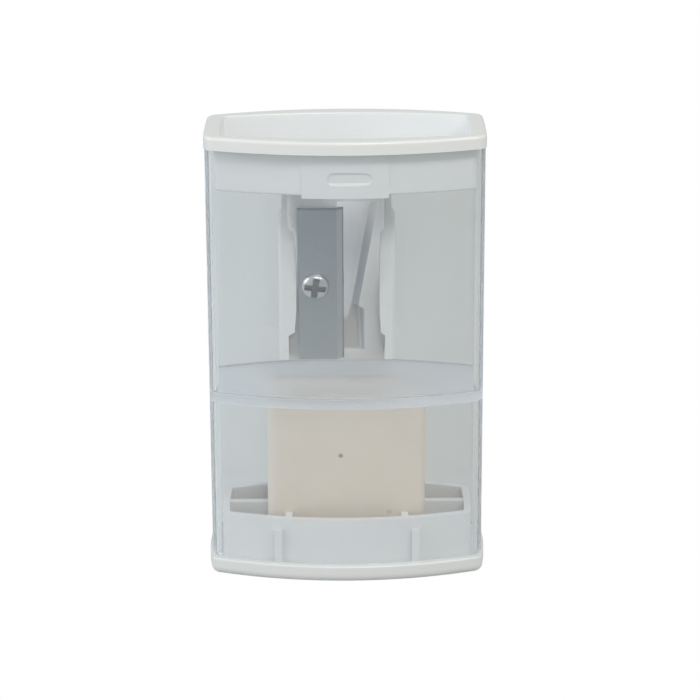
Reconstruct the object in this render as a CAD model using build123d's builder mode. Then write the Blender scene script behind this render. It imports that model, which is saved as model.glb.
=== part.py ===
from build123d import *
import math
import os

# Pencil sharpener with a clear shavings case and an eraser tray, in millimetres.
# The origin is the centre of the underside, +Z is up, and the blade faces -Y.
# Seven mouldings and fittings: base_tray, eraser, body_shell, top_cap,
# sharpener_block, blade and blade_screw.

os.makedirs("parts", exist_ok=True)

# ---- overall heights ----
HEIGHT = 65.2
FLANGE_TOP = 2.55
RIM_HEIGHT = 1.85
CASE_TOP = HEIGHT - RIM_HEIGHT
PARTITION_TOP = 27.6
PARTITION_THICKNESS = 1.4
PARTITION_BOTTOM = PARTITION_TOP - PARTITION_THICKNESS

# ---- plan of the clear case: arched front and back, nearly straight sides ----
CASE_HALF_W = 19.5
CASE_HALF_D = 10.25
CASE_CORNER_Y = 6.6
CASE_CORNER_R = 1.8
SIDE_BOW = 0.1
WALL = 0.85
CASE_FOOT_R = 0.65
ROOM_CORNER_R = 0.95
PARTITION_FILLET = 0.4
GATE_MARK_X = -0.9
GATE_MARK_R = 1.2
GATE_MARK_H = 0.1
# an inset side moves its corner along the arch by this share of the inset
CORNER_SHIFT = 0.69

# ---- rim and plug of the cap ----
RIM_OVERHANG = 0.15
RIM_EDGE_R = 0.45
RIM_INNER_R = 0.3
PLUG_GAP = 0.35
PLUG_CORNER_R = 1.2
PLUG_BOTTOM = 57.35
PLUG_EDGE_R = 0.35
CAP_FLOOR = 1.5
DISH_HALF_W = 17.3
DISH_HALF_D = 7.75
DISH_CORNER_Y = 5.7
DISH_CORNER_R = 0.8
PANEL_HALF_W = 6.0
PANEL_PROUD = 0.14
PANEL_DROP = 0.35
PANEL_BACK = 1.2
DIMPLE_X = 0.6
DIMPLE_W = 6.5
DIMPLE_H = 1.9
DIMPLE_DEPTH = 0.3
DIMPLE_TAPER = 50
DIMPLE_Z = 59.75

# ---- pencil bore and the cone behind the blade ----
BORE_R = 4.1
CONE_APEX_Z = 32.2
CONE_ANGLE = 9.8
CONE_SLOPE = math.tan(math.radians(CONE_ANGLE))
CONE_TOP_Z = CONE_APEX_Z + BORE_R / CONE_SLOPE
CONE_TIP_R = 0.35
CONE_TIP_Z = CONE_APEX_Z + CONE_TIP_R / CONE_SLOPE

# ---- sharpener block: a wedge with waisted sides ----
BLOCK_LEFT = -8.1
BLOCK_RIGHT = 5.45
BLOCK_BACK = 5.3
BLOCK_BOTTOM = 30.6
BLOCK_TOP = PLUG_BOTTOM
WAIST_IN_LEFT = 1.2
WAIST_IN_RIGHT = 0.75
WAIST_LOW_Z = 34.8
WAIST_HIGH_Z = 51.4
WAIST_STEP_SHARE = 0.75
WAIST_STEP_RISE = 0.6

# ---- blade and its screw, both square to the slanted seat ----
BLADE_LEFT = -6.7
BLADE_EDGE = -0.3
BLADE_TOP_Z = 54.45
BLADE_LENGTH = 23.9
BLADE_THICKNESS = 0.65
BLADE_BEVEL = 0.95
BLADE_HOLE_R = 1.2
SEAT_MARGIN = 0.08
SCREW_X = -4.3
SCREW_Z = 42.65
SCREW_HEAD_R = 1.95
SCREW_HEAD_H = 1.15
SCREW_CROWN_R = 0.75
SCREW_SHANK_R = 0.95
SCREW_LENGTH = 6.0
PILOT_R = 1.0
PILOT_EXTRA = 0.5
RECESS_W = 0.9
RECESS_L = 3.0
RECESS_DEPTH = 0.85
RECESS_TURN = -8

# ---- chip window to the right of the cutting edge ----
WINDOW_LEFT = -1.15
WINDOW_TOP_Z = 55.4
WINDOW_STEP_Z = 39.4
WINDOW_STEP_DROP = 0.7
WINDOW_BOTTOM_Z = 32.3
# its right wall leans: inside the cone's side where it is deep, outside it at the face
WALL_DEEP_IN = 0.5
WALL_FACE_OUT = 0.62
SLOT_DEEP_X = 1.83
SLOT_DEEP_Y = 0.35
SLOT_FACE_X = 2.45
# the cut runs on past both ends of the wall by these shares of its length
RUN_ON_DEEP = 0.3
RUN_ON_FACE = 0.6

# ---- legs of the cap that grip the block ----
LEG_LEFT = -9.5
LEG_RIGHT = 7.0
LEG_FRONT = -2.2
LEG_BACK = 3.4
LEG_BOTTOM = 31.3
LEG_CLEARANCE = 0.06
LEG_EDGE_R = 0.5
LEG_NECK_IN = 0.55
LEG_NECK_LOW_Z = 51.9
LEG_NECK_HIGH_Z = 52.6

# ---- base tray ----
FLANGE_HALF_W = 19.6
FLANGE_HALF_D = 10.8
FLANGE_CORNER_Y = 7.05
FLANGE_CORNER_R = 1.3
FLANGE_BOW = 0.5
FLANGE_FOOT_R = 1.25
FLANGE_EDGE_R = 0.25
TRAY_HALF_W = 17.9
TRAY_HALF_D = 8.4
TRAY_CORNER_Y = 5.3
TRAY_CORNER_R = 0.8
TRAY_WALL = 1.0
TRAY_TOP = 8.95
TRAY_FLOOR = 1.6
GUIDE_RIB_X = (-9.87, 9.87)
GUIDE_RIB_W = 1.12
GUIDE_RIB_TOP = 7.35
GUIDE_RIB_GAP = 0.2
GUSSET_X = (-8.35, 8.35)
GUSSET_W = 1.0
CROSS_RIB_W = 1.2
CROSS_RIB_DROP = 0.15

# ---- eraser ----
ERASER_LEFT = -11.4
ERASER_RIGHT = 11.3
ERASER_FRONT = -5.0
ERASER_BACK = 5.2
ERASER_TOP = 25.6
ERASER_EDGE_R = 0.6
ERASER_GAP = 0.05


# ---- shared outlines ----
def bowed_plan(level, half_w, half_d, corner_y, corner_r, bow=SIDE_BOW):
    """Outline at one level: arched front and back, slightly bowed sides, round corners."""
    with BuildSketch(Plane.XY.offset(level)) as plan:
        with BuildLine():
            ThreePointArc((-half_w, -corner_y), (0, -half_d), (half_w, -corner_y))
            ThreePointArc((half_w, -corner_y), (half_w + bow, 0), (half_w, corner_y))
            ThreePointArc((half_w, corner_y), (0, half_d), (-half_w, corner_y))
            ThreePointArc((-half_w, corner_y), (-half_w - bow, 0), (-half_w, -corner_y))
        make_face()
        fillet(plan.vertices(), corner_r)
    return plan.sketch


def case_plan(level, inset, corner_r):
    """The case's outline moved in by inset, or out where inset is negative."""
    corner_y = CASE_CORNER_Y - CORNER_SHIFT * inset
    return bowed_plan(level, CASE_HALF_W - inset, CASE_HALF_D - inset, corner_y, corner_r)


def arch_y(x, half_w, half_d, corner_y):
    """Y of an arched front at x: a circle through both corners and the middle."""
    sagitta = half_d - corner_y
    radius = (half_w**2 + sagitta**2) / (2 * sagitta)
    return radius - half_d - math.sqrt(radius**2 - x**2)


def cone_radius(z):
    """Radius of the cutting cone at height z."""
    return (z - CONE_APEX_Z) * CONE_SLOPE


def seat_plane(z):
    """Plane of the blade's seat at height z: X right, Y up the slope, Z out to the front."""
    slope_up = (0, -math.sin(math.radians(CONE_ANGLE)), math.cos(math.radians(CONE_ANGLE)))
    out = (0, -slope_up[2], slope_up[1])
    return Plane(origin=(0, -cone_radius(z), z), x_dir=(1, 0, 0), z_dir=out)


def block_side(edge, waist_in, grow):
    """One waisted side of the block, from its bottom up: slopes in, bows, slopes out."""
    inward = 1 if edge < 0 else -1
    edge = edge - inward * grow
    stepped = edge + inward * WAIST_STEP_SHARE * waist_in
    middle = edge + inward * waist_in
    low = WAIST_LOW_Z + grow
    high = WAIST_HIGH_Z - grow
    Polyline((edge, BLOCK_BOTTOM), (edge, low), (stepped, low + WAIST_STEP_RISE))
    ThreePointArc(
        (stepped, low + WAIST_STEP_RISE),
        (middle, (low + high) / 2),
        (stepped, high - WAIST_STEP_RISE),
    )
    Polyline((stepped, high - WAIST_STEP_RISE), (edge, high), (edge, BLOCK_TOP))
    return edge


def block_outline(grow=0.0):
    """Front view of the block, drawn on the XZ plane, grown sideways by a clearance."""
    with BuildSketch(Plane.XZ) as outline:
        with BuildLine():
            left = block_side(BLOCK_LEFT, WAIST_IN_LEFT, grow)
            right = block_side(BLOCK_RIGHT, WAIST_IN_RIGHT, grow)
            Line((left, BLOCK_BOTTOM), (right, BLOCK_BOTTOM))
            Line((left, BLOCK_TOP), (right, BLOCK_TOP))
        make_face()
    return outline.sketch


# ---- base tray: flange, low walls and the ribs that hold the eraser ----
def tray_arch_y(x, inset=0.0):
    """Y of the tray's front wall at x, moved in by inset."""
    corner_y = TRAY_CORNER_Y - CORNER_SHIFT * inset
    return arch_y(x, TRAY_HALF_W - inset, TRAY_HALF_D - inset, corner_y)


with BuildPart() as base_tray:
    flange_args = (FLANGE_HALF_W, FLANGE_HALF_D, FLANGE_CORNER_Y, FLANGE_CORNER_R, FLANGE_BOW)
    extrude(bowed_plan(0, *flange_args), amount=FLANGE_TOP)
    fillet(base_tray.edges().group_by(Axis.Z)[0], FLANGE_FOOT_R)
    fillet(base_tray.edges().group_by(Axis.Z)[-1], FLANGE_EDGE_R)
    tray_args = (TRAY_HALF_W, TRAY_HALF_D, TRAY_CORNER_Y, TRAY_CORNER_R)
    extrude(bowed_plan(FLANGE_TOP, *tray_args), amount=TRAY_TOP - FLANGE_TOP)
    # outer guide ribs, front and back, that centre the case
    for rib_x in GUIDE_RIB_X:
        case_inner = arch_y(rib_x, CASE_HALF_W - WALL, CASE_HALF_D - WALL,
                            CASE_CORNER_Y - CORNER_SHIFT * WALL)
        rib_reach = -case_inner - GUIDE_RIB_GAP
        with BuildSketch(Plane.XY.offset(FLANGE_TOP)):
            with Locations((rib_x, 0)):
                Rectangle(GUIDE_RIB_W, 2 * rib_reach)
        extrude(amount=GUIDE_RIB_TOP - FLANGE_TOP)
    # the hollow
    extrude(
        bowed_plan(
            TRAY_FLOOR,
            TRAY_HALF_W - TRAY_WALL,
            TRAY_HALF_D - TRAY_WALL,
            TRAY_CORNER_Y - CORNER_SHIFT * TRAY_WALL,
            TRAY_CORNER_R / 2,
        ),
        amount=TRAY_TOP - TRAY_FLOOR,
        mode=Mode.SUBTRACT,
    )
    # gussets between the eraser and the front and back walls
    for gusset_x in GUSSET_X:
        wall_y = tray_arch_y(gusset_x, TRAY_WALL / 2)
        for near, far in ((ERASER_FRONT - ERASER_GAP, wall_y), (ERASER_BACK + ERASER_GAP, -wall_y)):
            with BuildSketch(Plane.XY.offset(TRAY_FLOOR)):
                with Locations((gusset_x, (near + far) / 2)):
                    Rectangle(GUSSET_W, abs(far - near))
            extrude(amount=TRAY_TOP - TRAY_FLOOR)
    # cross ribs between the eraser and the side walls
    for side, near in ((-1, ERASER_LEFT - ERASER_GAP), (1, ERASER_RIGHT + ERASER_GAP)):
        far = side * (TRAY_HALF_W - TRAY_WALL / 2)
        with BuildSketch(Plane.XY.offset(TRAY_FLOOR)):
            with Locations(((near + far) / 2, 0)):
                Rectangle(abs(far - near), CROSS_RIB_W)
        extrude(amount=TRAY_TOP - CROSS_RIB_DROP - TRAY_FLOOR)

base_tray.part.label = "base_tray"
export_step(base_tray.part, "parts/base_tray.step")


# ---- eraser: a plain block that stands in the tray ----
with BuildPart() as eraser:
    with BuildSketch(Plane.XY.offset(TRAY_FLOOR)):
        with Locations(((ERASER_LEFT + ERASER_RIGHT) / 2, (ERASER_FRONT + ERASER_BACK) / 2)):
            Rectangle(ERASER_RIGHT - ERASER_LEFT, ERASER_BACK - ERASER_FRONT)
    extrude(amount=ERASER_TOP - TRAY_FLOOR)
    fillet(eraser.edges(), ERASER_EDGE_R)

eraser.part.label = "eraser"
export_step(eraser.part, "parts/eraser.step")


# ---- clear case: one moulding with the floor between its two rooms ----
with BuildPart() as body_shell:
    extrude(case_plan(FLANGE_TOP, 0, CASE_CORNER_R), amount=CASE_TOP - FLANGE_TOP)
    fillet(body_shell.edges().group_by(Axis.Z)[0], CASE_FOOT_R)
    extrude(
        case_plan(PARTITION_TOP, WALL, ROOM_CORNER_R),
        amount=CASE_TOP - PARTITION_TOP,
        mode=Mode.SUBTRACT,
    )
    fillet(
        body_shell.edges().filter_by_position(
            Axis.Z, PARTITION_TOP, PARTITION_TOP, inclusive=(True, True)
        ),
        PARTITION_FILLET,
    )
    extrude(
        case_plan(FLANGE_TOP, WALL, ROOM_CORNER_R),
        amount=PARTITION_BOTTOM - FLANGE_TOP,
        mode=Mode.SUBTRACT,
    )
    # round gate mark in the middle of the floor
    with BuildSketch(Plane.XY.offset(PARTITION_TOP)):
        with Locations((GATE_MARK_X, 0)):
            Circle(GATE_MARK_R)
    extrude(amount=GATE_MARK_H)

body_shell.part.label = "body_shell"
export_step(body_shell.part, "parts/body_shell.step")


# ---- top cap: rim, plug with a dish in it, snap panel and two legs ----
PLUG_INSET = WALL + PLUG_GAP
PLUG_HALF_W = CASE_HALF_W - PLUG_INSET
PLUG_HALF_D = CASE_HALF_D - PLUG_INSET
PLUG_CORNER_Y = CASE_CORNER_Y - CORNER_SHIFT * PLUG_INSET
CAP_FLOOR_TOP = PLUG_BOTTOM + CAP_FLOOR
PANEL_EDGE_Y = arch_y(PANEL_HALF_W, PLUG_HALF_W, PLUG_HALF_D, PLUG_CORNER_Y) - PANEL_PROUD
PANEL_FRONT_Y = -PLUG_HALF_D - PANEL_PROUD


def leg_blank(outer, inner):
    """One leg with a thinner neck under the cap's floor, less the block's outline."""
    side = 1 if outer > 0 else -1
    neck = outer - side * LEG_NECK_IN
    with BuildPart(mode=Mode.PRIVATE) as leg:
        with BuildSketch(Plane.XZ.offset(-LEG_FRONT)):
            with BuildLine():
                Polyline(
                    (outer, LEG_BOTTOM),
                    (outer, LEG_NECK_LOW_Z),
                    (neck, LEG_NECK_HIGH_Z),
                    (neck, PLUG_BOTTOM),
                    (inner, PLUG_BOTTOM),
                    (inner, LEG_BOTTOM),
                    close=True,
                )
            make_face()
        extrude(amount=LEG_FRONT - LEG_BACK)
        outer_pair = leg.edges().filter_by(Axis.Z).group_by(Axis.X)[-1 if outer > 0 else 0]
        fillet(outer_pair, LEG_EDGE_R)
        extrude(block_outline(LEG_CLEARANCE), amount=BLOCK_BACK, both=True, mode=Mode.SUBTRACT)
    return leg.part


with BuildPart() as top_cap:
    extrude(case_plan(CASE_TOP, -RIM_OVERHANG, CASE_CORNER_R), amount=RIM_HEIGHT)
    fillet(top_cap.edges().group_by(Axis.Z)[-1], RIM_EDGE_R)
    extrude(case_plan(PLUG_BOTTOM, PLUG_INSET, PLUG_CORNER_R), amount=CASE_TOP - PLUG_BOTTOM)
    fillet(top_cap.edges().group_by(Axis.Z)[0], PLUG_EDGE_R)
    # snap panel on the front, slightly proud and slightly longer than the plug
    with BuildSketch(Plane.XY.offset(PLUG_BOTTOM - PANEL_DROP)):
        with BuildLine():
            ThreePointArc(
                (-PANEL_HALF_W, PANEL_EDGE_Y), (0, PANEL_FRONT_Y), (PANEL_HALF_W, PANEL_EDGE_Y)
            )
            Polyline(
                (PANEL_HALF_W, PANEL_EDGE_Y),
                (PANEL_HALF_W, PANEL_EDGE_Y + PANEL_BACK),
                (-PANEL_HALF_W, PANEL_EDGE_Y + PANEL_BACK),
                (-PANEL_HALF_W, PANEL_EDGE_Y),
            )
        make_face()
    extrude(amount=CASE_TOP - PLUG_BOTTOM + PANEL_DROP)
    # oval snap dimple in the panel
    with BuildSketch(Plane.XZ.offset(-PANEL_FRONT_Y)):
        with Locations((DIMPLE_X, DIMPLE_Z)):
            SlotOverall(DIMPLE_W, DIMPLE_H)
    extrude(amount=-DIMPLE_DEPTH, taper=DIMPLE_TAPER, mode=Mode.SUBTRACT)
    # the dish and the pencil hole in its floor
    extrude(
        bowed_plan(CAP_FLOOR_TOP, DISH_HALF_W, DISH_HALF_D, DISH_CORNER_Y, DISH_CORNER_R),
        amount=HEIGHT - CAP_FLOOR_TOP,
        mode=Mode.SUBTRACT,
    )
    fillet(top_cap.faces().sort_by(Axis.Z)[-1].inner_wires().edges(), RIM_INNER_R)
    with Locations((0, 0, CAP_FLOOR_TOP)):
        Hole(BORE_R, depth=CAP_FLOOR)
    add(leg_blank(LEG_LEFT, BLOCK_LEFT + WAIST_IN_LEFT))
    add(leg_blank(LEG_RIGHT, BLOCK_RIGHT - WAIST_IN_RIGHT))

top_cap.part.label = "top_cap"
export_step(top_cap.part, "parts/top_cap.step")


# ---- sharpener block: wedge, pencil bore, blade seat, chip window and pilot hole ----
FACE_OUT = BLADE_THICKNESS / math.cos(math.radians(CONE_ANGLE))


def face_y(z, out=0.0):
    """Y of the slanted front at height z, out in front of the blade's seat."""
    return -cone_radius(z) - out


def window_plan(z, deep, face_x):
    """Window outline at height z, whose right wall runs from deep inside to the face."""
    reach_x = face_x - deep[0]
    reach_y = face_y(z, FACE_OUT) - deep[1]
    back = (deep[0] - RUN_ON_DEEP * reach_x, deep[1] - RUN_ON_DEEP * reach_y)
    front_share = 1 + RUN_ON_FACE
    front = (deep[0] + front_share * reach_x, deep[1] + front_share * reach_y)
    with BuildSketch(Plane.XY.offset(z)) as plan:
        with BuildLine():
            Polyline((WINDOW_LEFT, back[1]), back, front, (WINDOW_LEFT, front[1]), close=True)
        make_face()
    return plan.sketch


def cone_window_plan(z):
    """Window outline beside the cone: the wall's deep end lies on the cone's surface."""
    radius = cone_radius(z)
    deep_x = radius - WALL_DEEP_IN
    deep_y = -math.sqrt(radius**2 - deep_x**2)
    return window_plan(z, (deep_x, deep_y), radius + WALL_FACE_OUT)


def slot_plan(z):
    """Window outline below the step, where the wall stands upright."""
    return window_plan(z, (SLOT_DEEP_X, SLOT_DEEP_Y), SLOT_FACE_X)


with BuildPart() as sharpener_block:
    extrude(block_outline(), amount=2 * BORE_R, both=True)
    # wedge profile seen from the side, kept where it meets the front view
    with BuildSketch(Plane.YZ.offset(BLOCK_LEFT)):
        with BuildLine():
            Polyline(
                (face_y(BLOCK_BOTTOM, FACE_OUT), BLOCK_BOTTOM),
                (face_y(BLOCK_TOP, FACE_OUT), BLOCK_TOP),
                (BLOCK_BACK, BLOCK_TOP),
                (BLOCK_BACK, BLOCK_BOTTOM),
                close=True,
            )
        make_face()
    extrude(amount=BLOCK_RIGHT - BLOCK_LEFT, mode=Mode.INTERSECT)
    # pencil bore: a short cylinder over the cone, with a small flat tip
    with BuildSketch(Plane.XZ):
        with BuildLine():
            Polyline(
                (0, CONE_TIP_Z),
                (CONE_TIP_R, CONE_TIP_Z),
                (BORE_R, CONE_TOP_Z),
                (BORE_R, BLOCK_TOP),
                (0, BLOCK_TOP),
                close=True,
            )
        make_face()
    revolve(axis=Axis.Z, mode=Mode.SUBTRACT)
    # blade seat: a shallow slanted recess
    with BuildSketch(seat_plane(BLADE_TOP_Z)):
        with Locations(((BLADE_LEFT + BLADE_EDGE) / 2, -BLADE_LENGTH / 2)):
            Rectangle(BLADE_EDGE - BLADE_LEFT + 2 * SEAT_MARGIN, BLADE_LENGTH + 2 * SEAT_MARGIN)
    extrude(amount=2 * BLADE_THICKNESS, mode=Mode.SUBTRACT)
    # chip window, from its bottom: a slot round the tip, a sloping step, then a wall that
    # leans beside the cone
    window_plans = (
        slot_plan(WINDOW_BOTTOM_Z),
        slot_plan(WINDOW_STEP_Z - WINDOW_STEP_DROP),
        cone_window_plan(WINDOW_STEP_Z),
        cone_window_plan(WINDOW_TOP_Z),
    )
    for lower, upper in zip(window_plans, window_plans[1:]):
        loft((lower, upper), ruled=True, mode=Mode.SUBTRACT)
    # pilot hole for the blade screw, square to the seat
    with Locations(seat_plane(SCREW_Z).move(Location((SCREW_X, 0, 0)))):
        Hole(PILOT_R, depth=SCREW_LENGTH + PILOT_EXTRA)

sharpener_block.part.label = "sharpener_block"
export_step(sharpener_block.part, "parts/sharpener_block.step")


# ---- blade: flat steel with one ground edge and a screw hole ----
with BuildPart() as blade:
    blade_section = Plane(
        origin=seat_plane(BLADE_TOP_Z).origin,
        x_dir=(1, 0, 0),
        z_dir=-seat_plane(BLADE_TOP_Z).y_dir,
    )
    with BuildSketch(blade_section):
        with BuildLine():
            Polyline(
                (BLADE_LEFT, 0),
                (BLADE_EDGE, 0),
                (BLADE_EDGE - BLADE_BEVEL, BLADE_THICKNESS),
                (BLADE_LEFT, BLADE_THICKNESS),
                close=True,
            )
        make_face()
    extrude(amount=BLADE_LENGTH)
    with Locations(seat_plane(SCREW_Z).move(Location((SCREW_X, 0, 0)))):
        Hole(BLADE_HOLE_R, depth=2 * BLADE_THICKNESS)

blade.part.label = "blade"
export_step(blade.part, "parts/blade.step")


# ---- blade screw: round head with a cross recess, and its shank ----
screw_seat = seat_plane(SCREW_Z).move(Location((SCREW_X, 0, 0))).offset(BLADE_THICKNESS)

with BuildPart() as blade_screw:
    with BuildSketch(screw_seat):
        Circle(SCREW_HEAD_R)
    extrude(amount=SCREW_HEAD_H)
    fillet(blade_screw.edges().sort_by(Axis((0, 0, 0), screw_seat.z_dir))[-1], SCREW_CROWN_R)
    with BuildSketch(screw_seat):
        Circle(SCREW_SHANK_R)
    extrude(amount=-SCREW_LENGTH)
    with BuildSketch(screw_seat.offset(SCREW_HEAD_H)):
        Rectangle(RECESS_L, RECESS_W, rotation=RECESS_TURN)
        Rectangle(RECESS_W, RECESS_L, rotation=RECESS_TURN)
    extrude(amount=-RECESS_DEPTH, mode=Mode.SUBTRACT)

blade_screw.part.label = "blade_screw"
export_step(blade_screw.part, "parts/blade_screw.step")
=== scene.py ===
import math

import bpy
import numpy as np
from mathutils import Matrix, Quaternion, Vector


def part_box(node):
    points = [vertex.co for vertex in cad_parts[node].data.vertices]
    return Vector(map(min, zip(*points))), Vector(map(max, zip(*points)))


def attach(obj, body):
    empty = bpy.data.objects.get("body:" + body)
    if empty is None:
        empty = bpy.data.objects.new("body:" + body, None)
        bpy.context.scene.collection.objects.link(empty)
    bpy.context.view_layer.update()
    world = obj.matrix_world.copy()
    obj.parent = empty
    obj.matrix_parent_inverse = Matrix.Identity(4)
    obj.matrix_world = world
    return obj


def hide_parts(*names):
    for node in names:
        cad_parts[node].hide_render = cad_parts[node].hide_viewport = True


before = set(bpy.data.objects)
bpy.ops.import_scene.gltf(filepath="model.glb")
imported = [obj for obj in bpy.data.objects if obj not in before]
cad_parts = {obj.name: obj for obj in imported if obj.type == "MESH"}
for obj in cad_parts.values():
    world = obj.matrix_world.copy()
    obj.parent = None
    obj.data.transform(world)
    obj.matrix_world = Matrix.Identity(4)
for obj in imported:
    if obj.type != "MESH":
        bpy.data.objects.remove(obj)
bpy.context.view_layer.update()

MM = 0.001
MICRON = 0.000001

# ---------------------------------------------------------------- places taken from the CAD

CAP_HALF_X, CAP_HALF_Y, RIM_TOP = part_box("top_cap")[1]
FLANGE_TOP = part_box("body_shell")[0][2]
BLOCK_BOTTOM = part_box("sharpener_block")[0][2]
BLOCK_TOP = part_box("sharpener_block")[1][2]
BLADE_EDGE, _, BLADE_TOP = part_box("blade")[1]
ERASER_LEFT, ERASER_FRONT, ERASER_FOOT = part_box("eraser")[0]

# ---------------------------------------------------------------- camera

AIM = Vector((0.0, 0.0, 32.5)) * MM
CAMERA_DISTANCE = 381.64 * MM
CAMERA_ELEVATION = math.radians(18.26)
CAMERA_ROLL = math.radians(-0.29)
LENS_MM = 136.0
SENSOR_MM = 36.0
NEAREST_SEEN = 0.01
FARTHEST_SEEN = 20.0
# shares of the sensor's width
SHIFT_RIGHT = 0.005714
SHIFT_UP = -0.005714


def set_camera():
    """A long lens a little above the case, aimed at its middle and rolled a hair clockwise."""
    lens = bpy.data.cameras.new("desk_camera")
    lens.lens = LENS_MM
    lens.sensor_width = SENSOR_MM
    lens.shift_x = SHIFT_RIGHT
    lens.shift_y = SHIFT_UP
    lens.clip_start = NEAREST_SEEN
    lens.clip_end = FARTHEST_SEEN
    holder = bpy.data.objects.new("desk_camera", lens)
    bpy.context.scene.collection.objects.link(holder)
    back = Vector((0.0, -math.cos(CAMERA_ELEVATION), math.sin(CAMERA_ELEVATION)))
    holder.location = AIM + CAMERA_DISTANCE * back
    facing = (-back).to_track_quat("-Z", "Y")
    holder.rotation_mode = "QUATERNION"
    holder.rotation_quaternion = facing @ Quaternion((0.0, 0.0, 1.0), CAMERA_ROLL)
    bpy.context.scene.camera = holder


# ---------------------------------------------------------------- shader sums


class Level:
    """A shader socket that adds, subtracts, scales and takes powers like a number."""

    def __init__(self, shading, socket):
        self.shading = shading
        self.socket = socket

    def maths(self, operation, *values):
        """One Math node on some levels and numbers."""
        return self.shading.node("Math", {"operation": operation}, values)

    def __add__(self, other):
        return self.maths("ADD", self, other)

    def __radd__(self, other):
        return self.maths("ADD", other, self)

    def __sub__(self, other):
        return self.maths("SUBTRACT", self, other)

    def __rsub__(self, other):
        return self.maths("SUBTRACT", other, self)

    def __mul__(self, other):
        return self.maths("MULTIPLY", self, other)

    def __rmul__(self, other):
        return self.maths("MULTIPLY", other, self)

    def __pow__(self, other):
        return self.maths("POWER", self, other)

    def __abs__(self):
        return self.maths("ABSOLUTE", self)

    def ramp(self, low, high):
        """0 below low, 1 above high and a smooth step between; high may be the lower one."""
        flip = low > high
        ends = (high, low) if flip else (low, high)
        step = self.shading.node(
            "MapRange",
            {"interpolation_type": "SMOOTHSTEP"},
            {"Value": self, "From Min": ends[0], "From Max": ends[1]},
        )
        return 1 - step if flip else step


class Shading:
    """A node tree, emptied and ready for its nodes."""

    def __init__(self, tree):
        self.tree = tree
        self.tree.nodes.clear()

    def node(self, kind, settings=None, inputs=(), output=0):
        """Adds a node: its settings first, then the values or links of its sockets."""
        made = self.tree.nodes.new("ShaderNode" + kind)
        for name, value in (settings or {}).items():
            setattr(made, name, value)
        pairs = inputs.items() if isinstance(inputs, dict) else enumerate(inputs)
        for key, value in pairs:
            socket = made.inputs[key]
            if isinstance(value, Level):
                self.tree.links.new(value.socket, socket)
            elif socket.type == "RGBA":
                socket.default_value = (*value, 1.0)
            else:
                socket.default_value = value
        return Level(self, made.outputs[output]) if len(made.outputs) else None

    def either(self, share, first, second):
        """Mixes two shaders: the second one by its share."""
        return self.node("MixShader", {}, (share, first, second))

    def ray(self, kind):
        """1 for rays of one kind and 0 for the others."""
        return self.node("LightPath", output="Is " + kind + " Ray")


class Finish(Shading):
    """One material's node tree, with the piece's own object coordinates in metres."""

    def __init__(self, name):
        self.material = bpy.data.materials.new(name)
        self.material.use_nodes = True
        super().__init__(self.material.node_tree)
        self.place = self.node("TexCoord", output="Object")
        self.x, self.y, self.z = (
            self.node("SeparateXYZ", {}, (self.place,), axis) for axis in "XYZ"
        )

    def noise(self, per_metre, detail=3.0, rough=0.55, stretch=(1, 1, 1), shift=0.0):
        """Soft noise between about 0 and 1, with so many lumps to the metre."""
        where = self.node(
            "Mapping",
            {"vector_type": "POINT"},
            {"Vector": self.place, "Location": (shift, shift, shift), "Scale": stretch},
        )
        return self.node(
            "TexNoise",
            {"noise_dimensions": "3D"},
            {"Vector": where, "Scale": per_metre, "Detail": detail, "Roughness": rough},
        )

    def blend(self, factor, first, second):
        """Mixes two colours: the second one by the factor."""
        return self.node("Mix", {"data_type": "RGBA"}, {0: factor, 6: first, 7: second}, 2)

    def vectors(self, operation, *values, output="Vector"):
        """One Vector Math node on some places."""
        return self.node("VectorMath", {"operation": operation}, values, output)

    def bump(self, height, depth, below=None):
        """A bump whose height runs from 0 to 1 over so many metres, on top of another one."""
        inputs = {"Height": height, "Distance": depth, "Strength": 1.0}
        if below is not None:
            inputs["Normal"] = below
        return self.node("Bump", {}, inputs)

    def surface(self, **inputs):
        """A Principled shader; each input's name has underscores for its spaces."""
        named = {key.replace("_", " "): value for key, value in inputs.items()}
        return self.node("BsdfPrincipled", {}, named)

    def spot(self, place, radius):
        """1 at a place, falling softly from half the radius to 0 at the radius."""
        away = self.vectors("DISTANCE", self.place, place, output="Value")
        return away.ramp(radius, radius * 0.5)

    def cover(self, shader, *pieces, inside=None):
        """Sends the shader to the output and gives the material to the pieces."""
        ends = {"Surface": shader}
        if inside is not None:
            ends["Volume"] = inside
        self.node("OutputMaterial", {}, ends)
        for piece in pieces:
            piece.data.materials.clear()
            piece.data.materials.append(self.material)


# ---------------------------------------------------------------- light

WARM_WHITE = (1.0, 0.975, 0.93)
COOL_WHITE = (0.88, 0.96, 1.0)
# each lamp's name, place and side in metres, watts and colour
LAMPS = (
    ("front_key", (0.12, -0.64, 0.80), 0.22, 3.0, WARM_WHITE),
    ("right_key", (0.50, -0.44, 0.70), 0.16, 1.9, WARM_WHITE),
    ("left_fill", (-0.92, -0.30, 0.40), 0.70, 4.4, COOL_WHITE),
)
BOUNCES = {
    "max_bounces": 24,
    "diffuse_bounces": 5,
    "glossy_bounces": 8,
    "transmission_bounces": 20,
    "transparent_max_bounces": 48,
}
BRIGHTEST_BOUNCE = 4.0
ROOM_COLOUR = (0.95, 0.98, 1.0)
ROOM_STRENGTH = 0.57
SEEN_WHITE = (1.0, 1.0, 1.0)


def softbox(name, place, size, watts, colour):
    """A square area lamp at a place in metres, turned to face the middle of the case."""
    lamp = bpy.data.lights.new(name, "AREA")
    lamp.shape = "SQUARE"
    lamp.size = size
    lamp.energy = watts
    lamp.color = colour
    holder = bpy.data.objects.new(name, lamp)
    bpy.context.scene.collection.objects.link(holder)
    holder.location = Vector(place)
    holder.rotation_mode = "QUATERNION"
    holder.rotation_quaternion = (AIM - holder.location).to_track_quat("-Z", "Y")


def set_light():
    """Two warm lamps close together at the upper right front, and a broad cool one at the left."""
    for lamp in LAMPS:
        softbox(*lamp)


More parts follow.
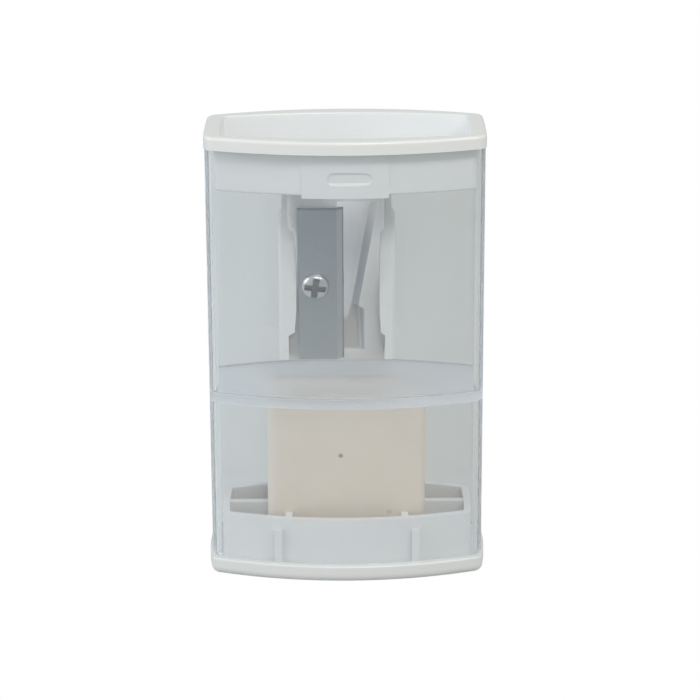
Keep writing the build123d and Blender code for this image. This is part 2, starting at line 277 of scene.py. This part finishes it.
def set_light_paths():
    """Plain colours, and enough bounces for light to pass the clear walls many times."""
    scene = bpy.context.scene
    scene.view_settings.view_transform = "Standard"
    scene.view_settings.look = "None"
    scene.cycles.use_denoising = True
    scene.cycles.denoiser = "OPENIMAGEDENOISE"
    scene.cycles.sample_clamp_indirect = BRIGHTEST_BOUNCE
    for kind, count in BOUNCES.items():
        setattr(scene.cycles, kind, count)


def set_room():
    """The room is plain white to the eye and an even, cooler and dimmer grey as a light."""
    world = bpy.data.worlds.new("pale_room")
    world.use_nodes = True
    room = Shading(world.node_tree)
    lit = room.node("Background", {}, {"Color": ROOM_COLOUR, "Strength": ROOM_STRENGTH})
    seen = room.node("Background", {}, {"Color": SEEN_WHITE})
    shown = room.either(room.ray("Camera"), lit, seen)
    room.node("OutputWorld", {}, {"Surface": shown})
    bpy.context.scene.world = world


# ---------------------------------------------------------------- clear case

CASE_TINT = (0.945, 0.962, 0.980)
CASE_TINT_SMEARED = (0.92, 0.94, 0.96)
CASE_IOR = 1.58
CASE_DEEP_COLOUR = (0.72, 0.77, 0.81)
CASE_DEEP_DENSITY = 30.0
FLOW_DEPTH = 20 * MICRON
HAIR_DEPTH = 2 * MICRON
LET_IN = (0.94, 0.945, 0.955)
MILK_COLOUR = (0.93, 0.96, 1.0)
MILK_FACE_ON = 0.05
MILK_CLOUDS = 0.04
MILK_EDGE_ON = 0.95
MILK_EDGE_POWER = 4


def clear_case():
    """Clear styrene: faintly milky glass, milkier edge-on, that lets lamps and soft light in.

    The share of milk is a face-on part, plus a cloudy part, plus the fourth power of how
    edge-on the wall is.
    """
    f = Finish("clear_moulded_case")
    cloud = f.noise(90, detail=2.0)
    smear = f.noise(160, detail=4.0, shift=1.7).ramp(0.5, 0.78)
    tint = f.blend(smear, CASE_TINT, CASE_TINT_SMEARED)
    flow = f.noise(220, detail=2.0, stretch=(1.0, 1.0, 0.18))
    hair = f.noise(2600, detail=1.0, stretch=(1.0, 1.0, 0.03), shift=0.4)
    waves = f.bump(flow, FLOW_DEPTH)
    fine = f.bump(hair.ramp(0.62, 0.8), HAIR_DEPTH, below=waves)
    glass = f.surface(
        Base_Color=tint,
        Roughness=0.05 + smear * 0.05,
        IOR=CASE_IOR,
        Transmission_Weight=1.0,
        Normal=fine,
    )
    edge_on = f.node("LayerWeight", {}, {"Blend": 0.5}, "Facing")
    front = f.node("BsdfDiffuse", {}, {"Color": MILK_COLOUR})
    back = f.node("BsdfTranslucent", {}, {"Color": MILK_COLOUR})
    milk = f.either(0.5, front, back)
    share = MILK_FACE_ON + cloud * MILK_CLOUDS + edge_on**MILK_EDGE_POWER * MILK_EDGE_ON
    milky = f.either(share, glass, milk)
    clear = f.node("BsdfTransparent", {}, {"Color": LET_IN})
    soft = f.either(f.ray("Diffuse"), milky, clear)
    lit = f.either(f.ray("Shadow"), soft, clear)
    deep = f.node(
        "VolumeAbsorption", {}, {"Color": CASE_DEEP_COLOUR, "Density": CASE_DEEP_DENSITY}
    )
    f.cover(lit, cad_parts["body_shell"], inside=deep)


# ---------------------------------------------------------------- white mouldings

CAP_WHITE = (0.705, 0.708, 0.685)
CAP_DRIFT = (0.685, 0.69, 0.67)
DISH_PAINTED_LIGHT = (0.81, 0.825, 0.835)
DISH_END_PAINTED_LIGHT = (0.83, 0.84, 0.85)
TRAY_WHITE = (0.715, 0.715, 0.695)
TRAY_DRIFT = (0.695, 0.70, 0.685)
FLANGE_WHITE = (0.655, 0.662, 0.65)
DUST_GREY = (0.62, 0.62, 0.60)
DUST_SHARE = 0.2
PEEL_DEPTH = 12 * MICRON
RUB_DEPTH = 6 * MICRON
STYRENE_IOR = 1.5
WHITE_SCATTER = (1.2 * MM, 1.2 * MM, 1.2 * MM)
# the front and back arches fall away by this times the square of x, in metres
ARCH_FALL = 8.1


def cap_dish_painted_light(f, tone):
    """Painted light: the dish's inner faces are lighter than the rim, lightest at the right end.

    The mask ends half way through the walls all round. The front and back ones are arched,
    so their distance from the middle is y plus the arch's fall times the square of x.
    """
    below_rim = f.z.ramp(RIM_TOP - 0.1 * MM, RIM_TOP - 0.4 * MM)
    above_floor = f.z.ramp(RIM_TOP - 6.0 * MM, RIM_TOP - 4.6 * MM)
    within_ends = abs(f.x).ramp(CAP_HALF_X - 1.85 * MM, CAP_HALF_X - 2.25 * MM)
    arched = abs(f.y) + f.x * f.x * ARCH_FALL
    within_arches = arched.ramp(CAP_HALF_Y - 1.9 * MM, CAP_HALF_Y - 2.1 * MM)
    inside = below_rim * above_floor * within_ends * within_arches
    right = f.x.ramp(CAP_HALF_X - 6.75 * MM, CAP_HALF_X - 3.25 * MM)
    # painted light: the dish's inside gets a lighter colour, lighter still at the right end
    return f.blend(inside, tone, f.blend(right, DISH_PAINTED_LIGHT, DISH_END_PAINTED_LIGHT))


def tray_tone(f, tone):
    """The flange is a little darker than the walls above it."""
    flange = f.z.ramp(FLANGE_TOP + 0.35 * MM, FLANGE_TOP - 0.05 * MM)
    return f.blend(flange, tone, FLANGE_WHITE)


def white_moulding(name, white, drift, zone_tone, node):
    """White styrene: satin gloss, faint orange peel, drifts of tone and a little dust."""
    f = Finish(name)
    cloud = f.noise(70, detail=3.0)
    # zone_tone gives the cap's dish its painted light and the tray's flange its darker band
    tone = zone_tone(f, f.blend(cloud.ramp(0.3, 0.7), white, drift))
    dust = f.noise(900, detail=4.0, rough=0.7, shift=3.1).ramp(0.6, 0.82)
    tone = f.blend(dust * DUST_SHARE, tone, DUST_GREY)
    peel = f.noise(1500, detail=2.0)
    rub = f.noise(420, detail=5.0, stretch=(0.3, 1.0, 1.0), shift=5.0)
    skin = f.bump(peel, PEEL_DEPTH)
    skin = f.bump(rub.ramp(0.55, 0.8), RUB_DEPTH, below=skin)
    shader = f.surface(
        Base_Color=tone,
        Roughness=0.30 + cloud * 0.08 + dust * 0.15,
        IOR=STYRENE_IOR,
        Subsurface_Weight=0.15,
        Subsurface_Radius=WHITE_SCATTER,
        Subsurface_Scale=1.0,
        Coat_Weight=0.15,
        Coat_Roughness=0.12,
        Normal=skin,
    )
    f.cover(shader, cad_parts[node])


# ---------------------------------------------------------------- sharpener block

BLOCK_WHITE = (0.56, 0.55, 0.52)
BLOCK_DRIFT = (0.56, 0.555, 0.53)
BLOCK_CHIP_GREY = (0.50, 0.50, 0.49)
BLOCK_EAR_PAINTED_SHADE = (0.53, 0.525, 0.51)
CONE_PAINTED_LIGHT = (0.90, 0.90, 0.90)
BLOCK_WALL_PAINTED_SHADE = (0.25, 0.26, 0.285)
CHIP_SHARE = 0.3
EAR_SHADE_SHARE = 0.8
BLOCK_SCATTER = (7 * MM, 7 * MM, 7 * MM)
TOOLING_DEPTH = 10 * MICRON
WAIST_MIDDLE_X = -0.6 * MM
# the cutting cone's tip, the slope of its side and how far out the window's wall stands
CONE_TIP_Z = BLOCK_BOTTOM + 1.6 * MM
CONE_SLOPE = 0.1727
WALL_OUT = 0.06 * MM
# the window's foot, its step, the middle of the slot under the step, and the two top heights of
# the wall's painted shade
WINDOW_FOOT = BLOCK_BOTTOM + 1.7 * MM
STEP_Z = BLOCK_BOTTOM + 8.5 * MM
SLOT_X = 2.1 * MM
WALL_SHADE_FULL_Z = BLOCK_TOP - 9.35 * MM
WALL_SHADE_END_Z = BLOCK_TOP - 2.35 * MM


def thin_ears(f):
    """1 on the block's four thin corners, past the waist above and below it."""
    low = f.z.ramp(BLOCK_BOTTOM + 5.0 * MM, BLOCK_BOTTOM + 4.3 * MM)
    high = f.z.ramp(BLOCK_TOP - 6.95 * MM, BLOCK_TOP - 6.15 * MM)
    outside = abs(f.x - WAIST_MIDDLE_X).ramp(4.6 * MM, 5.6 * MM)
    return (low + high) * outside


def window_wall_shade(f, cone):
    """Painted shade: 1 on the window's right wall, fading with the distance from its middle.

    The wall's middle is the cone's radius above the step, and one fixed distance from the
    axis below it. Only the front half of the block is marked, from the window's foot up.
    """
    above = f.z.ramp(STEP_Z - 0.3 * MM, STEP_Z + 0.3 * MM)
    wall = above * (cone + WALL_OUT) + (1 - above) * SLOT_X
    near = abs(f.x - wall).ramp(0.62 * MM, 0.42 * MM)
    tall = f.z.ramp(WINDOW_FOOT - 0.2 * MM, WINDOW_FOOT + 0.3 * MM)
    tall = tall * f.z.ramp(WALL_SHADE_END_Z, WALL_SHADE_FULL_Z)
    front = f.y.ramp(-0.2 * MM, -0.6 * MM)
    shade_variation = 0.8 + f.noise(500, detail=3.0, stretch=(1.0, 1.0, 0.3), shift=6.0) * 0.4
    return near * tall * front * shade_variation


def block_moulding():
    """The blade block's plastic: painted shade on its thin ears and on one window wall, painted
    light inside the cone.

    The cone's radius is the height above its tip times its slope, and a point belongs to the
    cone when its distance from the axis is no more than that.
    """
    f = Finish("milky_block_plastic")
    cloud = f.noise(120, detail=3.0)
    tone = f.blend(cloud.ramp(0.35, 0.7), BLOCK_WHITE, BLOCK_DRIFT)
    chips = f.noise(1400, detail=5.0, rough=0.7, shift=2.0).ramp(0.6, 0.8)
    tone = f.blend(chips * CHIP_SHARE, tone, BLOCK_CHIP_GREY)
    # painted shade: the block's thin ears are darkened
    tone = f.blend(thin_ears(f) * EAR_SHADE_SHARE, tone, BLOCK_EAR_PAINTED_SHADE)
    cone = (f.z - CONE_TIP_Z) * CONE_SLOPE
    reach = (f.x * f.x + f.y * f.y) ** 0.5
    in_cone = (reach - cone).ramp(0.2 * MM, 0.05 * MM)
    # painted light: the cone's inside is made much lighter than the block
    tone = f.blend(in_cone, tone, CONE_PAINTED_LIGHT)
    # painted shade darkens the window's right wall
    tone = f.blend(window_wall_shade(f, cone), tone, BLOCK_WALL_PAINTED_SHADE)
    tooling = f.noise(700, detail=3.0, stretch=(1.0, 1.0, 0.1), shift=0.9)
    shader = f.surface(
        Base_Color=tone,
        Roughness=0.34 + cloud * 0.1,
        IOR=STYRENE_IOR,
        Subsurface_Weight=0.9,
        Subsurface_Radius=BLOCK_SCATTER,
        Subsurface_Scale=1.0,
        Normal=f.bump(tooling, TOOLING_DEPTH),
    )
    f.cover(shader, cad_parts["sharpener_block"])


# ---------------------------------------------------------------- blade and screw

STEEL_PAINTED_SHADE_TOP = (0.255, 0.305, 0.345)
STEEL_PAINTED_LIGHT_FOOT = (0.385, 0.415, 0.44)
STEEL_GRAIN = (0.47, 0.50, 0.52)
STEEL_CLOUD = (0.30, 0.33, 0.35)
STEEL_BEVEL = (0.54, 0.545, 0.565)
STEEL_PAINTED_SHADOW = (0.12, 0.13, 0.15)
GRIND_DEPTH = 3 * MICRON
BEVEL_X = BLADE_EDGE - 0.95 * MM
EDGE_SHADOW_X = BLADE_EDGE - 0.12 * MM
TOP_SHADOW_Z = BLADE_TOP - 0.3 * MM


def ground_blade():
    """Ground carbon steel: fine cross grain, a paler bevel, painted shade from top to foot and
    painted shadow lines along the cutting edge and the top end.
    """
    f = Finish("ground_blade_steel")
    grain = f.noise(5200, detail=3.0, stretch=(0.2, 1.0, 1.0))
    cloud = f.noise(200, detail=4.0, shift=1.3)
    # painted shade: the blade is darker at the top and lighter towards the foot
    tone = f.blend(f.z.ramp(60 * MM, 30 * MM), STEEL_PAINTED_SHADE_TOP, STEEL_PAINTED_LIGHT_FOOT)
    tone = f.blend(grain.ramp(0.35, 0.7) * 0.22, tone, STEEL_GRAIN)
    tone = f.blend(cloud.ramp(0.5, 0.8) * 0.2, tone, STEEL_CLOUD)
    bevel = f.x.ramp(BEVEL_X - 0.08 * MM, BEVEL_X + 0.08 * MM)
    tone = f.blend(bevel * 0.7, tone, STEEL_BEVEL)
    # painted shadow: dark lines along the cutting edge and the top end
    edge = f.x.ramp(EDGE_SHADOW_X - 0.1 * MM, EDGE_SHADOW_X)
    top = f.z.ramp(TOP_SHADOW_Z - 0.15 * MM, TOP_SHADOW_Z + 0.05 * MM)
    tone = f.blend((edge + top * (1 - edge)) * 0.75, tone, STEEL_PAINTED_SHADOW)
    shader = f.surface(
        Base_Color=tone,
        Metallic=1.0,
        Roughness=0.36 + grain * 0.12 + cloud * 0.08,
        Normal=f.bump(grain, GRIND_DEPTH),
    )
    f.cover(shader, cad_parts["blade"])


SEAT_ANGLE = math.radians(9.8)
SCREW_OUT = (0.0, -math.cos(SEAT_ANGLE), -math.sin(SEAT_ANGLE))
SCREW_SEAT = (-4.3 * MM, -1.805 * MM, 42.65 * MM)
HEAD_OUT = 1.8 * MM
NICKEL_BRIGHT = (0.66, 0.66, 0.65)
NICKEL_DULL = (0.48, 0.49, 0.50)
RECESS_PAINTED_SHADE = (0.10, 0.125, 0.15)
RECESS_SHADE_SHARE = 0.92
PLATING_DEPTH = 6 * MICRON


def plated_screw():
    """Bright nickel plate, with painted shade in the cross recess.

    A point's height on the head is its distance along the screw from the seat, and its reach
    is what is left of its distance from the seat. The painted shade lies low and near the axis.
    """
    f = Finish("plated_screw_steel")
    grain = f.noise(3800, detail=3.0)
    cloud = f.noise(600, detail=3.0, shift=0.7)
    tone = f.blend(cloud.ramp(0.4, 0.75), NICKEL_BRIGHT, NICKEL_DULL)
    away = f.vectors("SUBTRACT", f.place, SCREW_SEAT)
    up = f.vectors("DOT_PRODUCT", away, SCREW_OUT, output="Value")
    span = f.vectors("LENGTH", away, output="Value")
    reach = (span * span - up * up) ** 0.5
    sunk = (HEAD_OUT - up).ramp(0.10 * MM, 0.24 * MM)
    recess_shade = sunk * reach.ramp(1.62 * MM, 1.5 * MM)
    # painted shade darkens the cross recess
    tone = f.blend(recess_shade * RECESS_SHADE_SHARE, tone, RECESS_PAINTED_SHADE)
    shader = f.surface(
        Base_Color=tone,
        Metallic=1.0,
        Roughness=0.16 + cloud * 0.14 + recess_shade * 0.3,
        Normal=f.bump(grain, PLATING_DEPTH),
    )
    f.cover(shader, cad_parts["blade_screw"])


# ---------------------------------------------------------------- eraser

RUBBER_TONE = (0.685, 0.605, 0.495)
RUBBER_DRIFT = (0.66, 0.58, 0.47)
RUBBER_RUBBED = (0.73, 0.67, 0.58)
RUBBER_LEFT_PAINTED_LIGHT = (0.72, 0.68, 0.60)
SPECK_TONE = (0.16, 0.15, 0.15)
PIT_DEPTH = 40 * MICRON
# each speck's distance from the left end and from the foot, its radius and its darkness
SPECKS = ((10.57 * MM, 16.0 * MM, 0.42 * MM, 0.85), (17.5 * MM, 7.3 * MM, 0.5 * MM, 0.3))


def eraser_rubber(piece):
    """Off-white block rubber: chalky, faintly mottled, with pits, crumbs, two specks and painted
    light along its left edge.
    """
    f = Finish("chalky_eraser_rubber")
    cloud = f.noise(110, detail=4.0)
    tone = f.blend(cloud.ramp(0.3, 0.72), RUBBER_TONE, RUBBER_DRIFT)
    rub = f.noise(520, detail=5.0, rough=0.7, shift=4.0).ramp(0.5, 0.8)
    tone = f.blend(rub * 0.35, tone, RUBBER_RUBBED)
    # painted light: the eraser is lighter along its left edge
    left_painted_light = f.x.ramp(ERASER_LEFT + 2.0 * MM, ERASER_LEFT + 0.2 * MM)
    tone = f.blend(left_painted_light * 0.6, tone, RUBBER_LEFT_PAINTED_LIGHT)
    specks = 0.0
    for along, up, radius, darkness in SPECKS:
        place = (ERASER_LEFT + along, ERASER_FRONT, ERASER_FOOT + up)
        specks = specks + f.spot(place, radius) * darkness
    tone = f.blend(specks, tone, SPECK_TONE)
    pits = f.noise(1900, detail=4.0, rough=0.65, shift=1.0)
    shader = f.surface(
        Base_Color=tone,
        Roughness=0.82 + cloud * 0.1,
        IOR=1.45,
        Sheen_Weight=0.15,
        Normal=f.bump(pits, PIT_DEPTH),
    )
    f.cover(shader, piece)


def skin_grid(points, name, pole_ends):
    """Mesh of a grid of rings: each ring closes on itself, and poles close both ends."""
    rings, around = points.shape[:2]
    corners = points.reshape(-1, 3)
    row = np.arange(rings - 1)[:, None] * around
    step = np.arange(around)[None, :]
    after = (step + 1) % around
    quads = np.stack(
        (row + step, row + after, row + around + after, row + around + step), -1
    ).reshape(-1, 4)
    low, high = len(corners), len(corners) + 1
    corners = np.vstack((corners, pole_ends))
    here, there = step[0], after[0]
    last = (rings - 1) * around
    bottom = np.stack((there, here, np.full(around, low)), -1)
    top = np.stack((last + here, last + there, np.full(around, high)), -1)
    mesh = bpy.data.meshes.new(name)
    mesh.from_pydata(corners, [], quads.tolist() + bottom.tolist() + top.tolist())
    mesh.polygons.foreach_set("use_smooth", np.ones(len(mesh.polygons), bool))
    mesh.update()
    piece = bpy.data.objects.new(name, mesh)
    bpy.context.scene.collection.objects.link(piece)
    return piece


def rounded_outline(half_x, half_y, radius, straight_steps, corner_steps):
    """Core points and outward directions round a rectangle with round corners.

    The core point slides along an inner rectangle while the direction stays square to the
    side, and waits at each of its corners while the direction turns through a quarter circle,
    so both are straight lines between eight breakpoints of one distance.
    """
    core_x, core_y = half_x - radius, half_y - radius
    stops = np.arange(9)
    turns = np.array((0, 0, 1, 1, 2, 2, 3, 3, 4)) * math.pi / 2
    along_x = np.array((1, 1, 1, -1, -1, -1, -1, 1, 1)) * core_x
    along_y = np.array((-1, 1, 1, 1, 1, -1, -1, -1, -1)) * core_y
    steps = np.array((straight_steps, corner_steps) * 4)
    walk = np.concatenate(
        [np.linspace(stop, stop + 1, count, endpoint=False) for stop, count in enumerate(steps)]
    )
    angle = np.interp(walk, stops, turns)
    core = np.stack((np.interp(walk, stops, along_x), np.interp(walk, stops, along_y)), -1)
    return core, np.stack((np.cos(angle), np.sin(angle)), -1)


ERASER_EDGE = 0.6 * MM
ERASER_CORNER = 0.75 * MM
ERASER_SWELL = 0.05 * MM
# rings and steps of the skin's grid
SIDE_STEPS = 44
CORNER_STEPS = 10
EDGE_RINGS = 9
FACE_RINGS = 14
WALL_RINGS = 42
SMALLEST_RING = 0.04
# how far the skin's two slow waves turn over half the height, and their lengths
WAVE_RISE = 3.1
WAVE_X = 4.1 * MM
CROSS_WAVE_RISE = -2.2
CROSS_WAVE_X = 7.3 * MM
CROSS_WAVE_Y = 3.7 * MM


def eraser_profile(half_height):
    """Each ring's share of the plan, its inset and its height, from the foot to the top.

    The end faces are rings at full height whose share grows evenly, the walls are rings of
    full share at even heights, and between them the inset and the height go through a
    quarter circle of the edge's radius.
    """
    face = np.linspace(SMALLEST_RING, 1.0, FACE_RINGS, endpoint=False)
    turn = np.linspace(0.0, math.pi / 2, EDGE_RINGS)
    wall = np.linspace(-1.0, 1.0, WALL_RINGS + 2)[1:-1]
    level = half_height - ERASER_EDGE
    share = np.concatenate((face, np.ones(EDGE_RINGS * 2 + WALL_RINGS), face[::-1]))
    inset = ERASER_EDGE * np.concatenate(
        (
            np.ones(FACE_RINGS),
            1 - np.sin(turn),
            np.zeros(WALL_RINGS),
            1 - np.cos(turn),
            np.ones(FACE_RINGS),
        )
    )
    height = np.concatenate(
        (
            np.full(FACE_RINGS, -half_height),
            -level - ERASER_EDGE * np.cos(turn),
            wall * level,
            level + ERASER_EDGE * np.sin(turn),
            np.full(FACE_RINGS, half_height),
        )
    )
    return share, inset, height


def eraser_sink(plan, rise):
    """How far the skin sinks: a sum of two slow sines of height and place, more near the top."""
    x, y = plan[..., 0], plan[..., 1]
    wave = np.sin(WAVE_RISE * rise + x / WAVE_X)
    cross_wave = np.sin(CROSS_WAVE_RISE * rise + x / CROSS_WAVE_X + y / CROSS_WAVE_Y)
    return ERASER_SWELL * (2.0 + wave + cross_wave) / 4 * (1.0 + 0.5 * rise)


def block_eraser():
    """A rounded rectangle carried up a profile whose two ends turn in by a quarter circle.

    Each ring is the core rectangle plus the outward direction times the corner radius less
    the profile's inset, all scaled by the ring's share. The skin then sinks inwards.
    """
    low, high = (np.array(corner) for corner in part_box("eraser"))
    centre = (low + high) / 2
    half = (high - low) / 2
    core, outward = rounded_outline(half[0], half[1], ERASER_CORNER, SIDE_STEPS, CORNER_STEPS)
    share, inset, height = eraser_profile(half[2])
    share = share[:, None, None]
    reach = (ERASER_CORNER - inset)[:, None, None]
    plan = share * (core[None] + reach * outward[None])
    sink = eraser_sink(plan, (height / half[2])[:, None])
    plan = plan - share * sink[..., None] * outward[None]
    heights = np.broadcast_to(height[:, None, None], plan[..., :1].shape)
    points = np.concatenate((plan, heights), -1)
    poles = np.array(((0, 0, -half[2]), (0, 0, half[2])))
    piece = skin_grid(points + centre, "eraser_block", poles + centre)
    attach(piece, "base")
    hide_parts("eraser")
    eraser_rubber(piece)


# ---------------------------------------------------------------- floor

FLOOR_RADIUS = 3.0
FLOOR_CELLS = 8
FLOOR_DROP = 0.05 * MM
PAPER_TONE = (0.60, 0.605, 0.61)
PAPER_FIBRE = (0.63, 0.635, 0.64)
# painted shade: the backdrop seen through the case is darker on the right
BACKDROP_LEFT = (0.64, 0.68, 0.66)
BACKDROP_RIGHT = (0.51, 0.505, 0.465)
BACKDROP_FADE = 0.06


def pale_floor():
    """A broad square grid just under the object.

    It is white to the eye, pale grey through the case and mid grey as a reflector.
    """
    across = np.linspace(-FLOOR_RADIUS, FLOOR_RADIUS, FLOOR_CELLS + 1)
    x, y = np.meshgrid(across, across)
    corners = np.stack((x, y, np.full_like(x, -FLOOR_DROP)), -1).reshape(-1, 3)
    wide = FLOOR_CELLS + 1
    first = np.arange(FLOOR_CELLS)[:, None] * wide + np.arange(FLOOR_CELLS)[None, :]
    quads = np.stack((first, first + 1, first + wide + 1, first + wide), -1)
    mesh = bpy.data.meshes.new("pale_floor")
    mesh.from_pydata(corners, [], quads.reshape(-1, 4).tolist())
    floor = bpy.data.objects.new("pale_floor", mesh)
    bpy.context.scene.collection.objects.link(floor)
    f = Finish("pale_paper")
    fibre = f.noise(30, detail=5.0)
    paper = f.node("BsdfDiffuse", {}, {"Color": f.blend(fibre, PAPER_TONE, PAPER_FIBRE)})
    # painted shade: the grey glow fades darker towards the right
    side = f.x.ramp(-BACKDROP_FADE, BACKDROP_FADE)
    grey = f.node("Emission", {}, {"Color": f.blend(side, BACKDROP_LEFT, BACKDROP_RIGHT)})
    white = f.node("Emission", {}, {"Color": SEEN_WHITE})
    through = f.either(f.ray("Transmission"), paper, grey)
    f.cover(f.either(f.ray("Camera"), through, white), floor)


set_camera()
set_light()
set_light_paths()
set_room()
pale_floor()
clear_case()
white_moulding("white_cap_plastic", CAP_WHITE, CAP_DRIFT, cap_dish_painted_light, "top_cap")
white_moulding("white_tray_plastic", TRAY_WHITE, TRAY_DRIFT, tray_tone, "base_tray")
block_moulding()
ground_blade()
plated_screw()
block_eraser()
